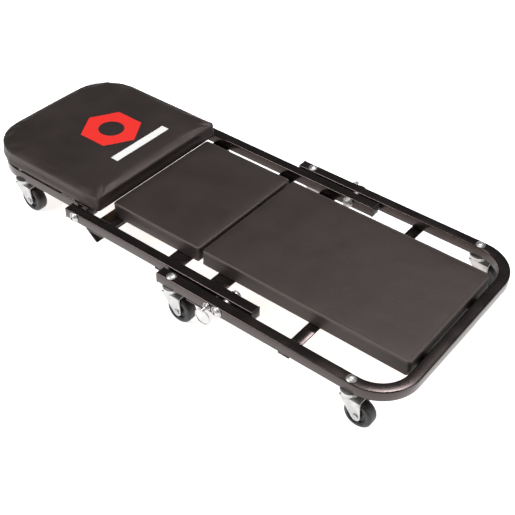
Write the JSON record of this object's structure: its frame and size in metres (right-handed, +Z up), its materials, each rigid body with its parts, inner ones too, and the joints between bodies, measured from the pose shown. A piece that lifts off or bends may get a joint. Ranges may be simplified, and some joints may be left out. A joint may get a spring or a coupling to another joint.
{
  "type": "mechanics creeper",
  "caption": "Folding mechanics creeper on swivel casters: black padded boards on a square-tube steel frame that folds up into a low seat",
  "frame": {"origin": "on the floor below the middle of the creeper's overall box, flat on its casters", "axes": "+X towards the foot end, +Y towards the lying user's left, +Z up; millimetres in the source, metres here"},
  "size_m": [0.948, 0.45, 0.116],
  "materials": {
    "frame_paint": "gloss black enamel on square steel tube and strap",
    "pad_vinyl": "black upholstery vinyl with a fine grain",
    "pad_plywood": "plain birch plywood",
    "bright_zinc": "bright zinc plate on steel pressings and fasteners",
    "bare_steel": "bare spring and bearing steel",
    "cap_plastic": "black moulded plastic tube plug",
    "wheel_rubber": "black solid rubber tread, satin"
  },
  "bodies": {
    "foot_frame": {"foot_side_tube_right": "frame_paint", "foot_side_tube_left": "frame_paint", "foot_end_bow": "frame_paint", "foot_front_crossbar": "frame_paint", "foot_middle_crossbar": "frame_paint", "foot_end_tabs": "frame_paint", "foot_tube_caps": "cap_plastic", "foot_pad_board": "pad_plywood", "foot_pad_cushion": "pad_vinyl", "foot_caster_bolts": "bright_zinc", "foot_caster_races": "bright_zinc", "foot_caster_balls": "bare_steel", "main_pivot_bolts": "bright_zinc", "main_pivot_washers": "bright_zinc", "main_pivot_nuts": "bright_zinc", "lock_pin_housings": "bright_zinc", "lock_pin_spring_right": "bare_steel", "lock_pin_spring_left": "bare_steel"},
    "middle_frame": {"middle_rail_right": "frame_paint", "middle_rail_left": "frame_paint", "middle_crossbar": "frame_paint", "head_stop_plate": "frame_paint", "middle_rail_caps": "cap_plastic", "middle_pad_board": "pad_plywood", "middle_pad_cushion": "pad_vinyl", "head_pivot_bolts": "bright_zinc", "head_pivot_washers": "bright_zinc", "head_pivot_nuts": "bright_zinc"},
    "head_frame": {"head_side_tube_right": "frame_paint", "head_side_tube_left": "frame_paint", "head_end_bow": "frame_paint", "head_crossbars": "frame_paint", "head_tube_caps": "cap_plastic", "head_pad_board": "pad_plywood", "head_pad_cushion": "pad_vinyl", "head_caster_bolts": "bright_zinc", "head_caster_races": "bright_zinc", "head_caster_balls": "bare_steel"},
    "lock_pin_right": {"lock_pin_right": "bright_zinc"},
    "lock_pin_left": {"lock_pin_left": "bright_zinc"},
    "pull_ring_right": {"pull_ring_right": "bright_zinc"},
    "pull_ring_left": {"pull_ring_left": "bright_zinc"},
    "caster_foot_right": {"caster_fork_foot_right": "bright_zinc", "caster_axle_foot_right": "bare_steel"},
    "wheel_foot_right": {"caster_wheel_foot_right": "wheel_rubber"},
    "caster_foot_left": {"caster_fork_foot_left": "bright_zinc", "caster_axle_foot_left": "bare_steel"},
    "wheel_foot_left": {"caster_wheel_foot_left": "wheel_rubber"},
    "caster_middle_right": {"caster_fork_middle_right": "bright_zinc", "caster_axle_middle_right": "bare_steel"},
    "wheel_middle_right": {"caster_wheel_middle_right": "wheel_rubber"},
    "caster_middle_left": {"caster_fork_middle_left": "bright_zinc", "caster_axle_middle_left": "bare_steel"},
    "wheel_middle_left": {"caster_wheel_middle_left": "wheel_rubber"},
    "caster_head_right": {"caster_fork_head_right": "bright_zinc", "caster_axle_head_right": "bare_steel"},
    "wheel_head_right": {"caster_wheel_head_right": "wheel_rubber"},
    "caster_head_left": {"caster_fork_head_left": "bright_zinc", "caster_axle_head_left": "bare_steel"},
    "wheel_head_left": {"caster_wheel_head_left": "wheel_rubber"}
  },
  "joints": [
    {"name": "middle_fold", "type": "hinge", "parent": "foot_frame", "child": "middle_frame", "pos_m": [0.142, 0, 0.0734], "axis": [0, 1, 0], "range_deg": [0, 138]},
    {"name": "head_fold", "type": "hinge", "parent": "middle_frame", "child": "head_frame", "pos_m": [-0.208, 0, 0.0734], "axis": [0, -1, 0], "range_deg": [0, 138]},
    {"name": "lock_pin_right_pull", "type": "slide", "parent": "foot_frame", "child": "lock_pin_right", "axis": [0, -1, 0], "range_m": [0, 0.008], "stiffness_N_per_m": 600, "springref_m": -0.006, "deforming": ["lock_pin_spring_right"]},
    {"name": "lock_pin_left_pull", "type": "slide", "parent": "foot_frame", "child": "lock_pin_left", "axis": [0, 1, 0], "range_m": [0, 0.008], "stiffness_N_per_m": 600, "springref_m": -0.006, "deforming": ["lock_pin_spring_left"]},
    {"name": "pull_ring_right_swing", "type": "hinge", "parent": "lock_pin_right", "child": "pull_ring_right", "pos_m": [0.122, -0.2218, 0.0734], "axis": [1, 0, 0], "range_deg": [-120, 30]},
    {"name": "pull_ring_left_swing", "type": "hinge", "parent": "lock_pin_left", "child": "pull_ring_left", "pos_m": [0.122, 0.2218, 0.0734], "axis": [1, 0, 0], "range_deg": [-30, 120]},
    {"name": "swivel_foot_right", "type": "hinge", "parent": "foot_frame", "child": "caster_foot_right", "pos_m": [0.393, -0.2, 0.057], "axis": [0, 0, 1], "continuous": true},
    {"name": "spin_foot_right", "type": "hinge", "parent": "caster_foot_right", "child": "wheel_foot_right", "pos_m": [0.4145, -0.2, 0.025], "axis": [0, 1, 0], "continuous": true},
    {"name": "swivel_foot_left", "type": "hinge", "parent": "foot_frame", "child": "caster_foot_left", "pos_m": [0.393, 0.2, 0.057], "axis": [0, 0, 1], "continuous": true},
    {"name": "spin_foot_left", "type": "hinge", "parent": "caster_foot_left", "child": "wheel_foot_left", "pos_m": [0.4145, 0.2, 0.025], "axis": [0, 1, 0], "continuous": true},
    {"name": "swivel_middle_right", "type": "hinge", "parent": "foot_frame", "child": "caster_middle_right", "pos_m": [0.037, -0.2, 0.057], "axis": [0, 0, 1], "continuous": true},
    {"name": "spin_middle_right", "type": "hinge", "parent": "caster_middle_right", "child": "wheel_middle_right", "pos_m": [0.0585, -0.2, 0.025], "axis": [0, 1, 0], "continuous": true},
    {"name": "swivel_middle_left", "type": "hinge", "parent": "foot_frame", "child": "caster_middle_left", "pos_m": [0.037, 0.2, 0.057], "axis": [0, 0, 1], "continuous": true},
    {"name": "spin_middle_left", "type": "hinge", "parent": "caster_middle_left", "child": "wheel_middle_left", "pos_m": [0.0585, 0.2, 0.025], "axis": [0, 1, 0], "continuous": true},
    {"name": "swivel_head_right", "type": "hinge", "parent": "head_frame", "child": "caster_head_right", "pos_m": [-0.38, -0.15, 0.057], "axis": [0, 0, 1], "continuous": true},
    {"name": "spin_head_right", "type": "hinge", "parent": "caster_head_right", "child": "wheel_head_right", "pos_m": [-0.3585, -0.15, 0.025], "axis": [0, 1, 0], "continuous": true},
    {"name": "swivel_head_left", "type": "hinge", "parent": "head_frame", "child": "caster_head_left", "pos_m": [-0.38, 0.15, 0.057], "axis": [0, 0, 1], "continuous": true},
    {"name": "spin_head_left", "type": "hinge", "parent": "caster_head_left", "child": "wheel_head_left", "pos_m": [-0.3585, 0.15, 0.025], "axis": [0, 1, 0], "continuous": true}
  ]
}
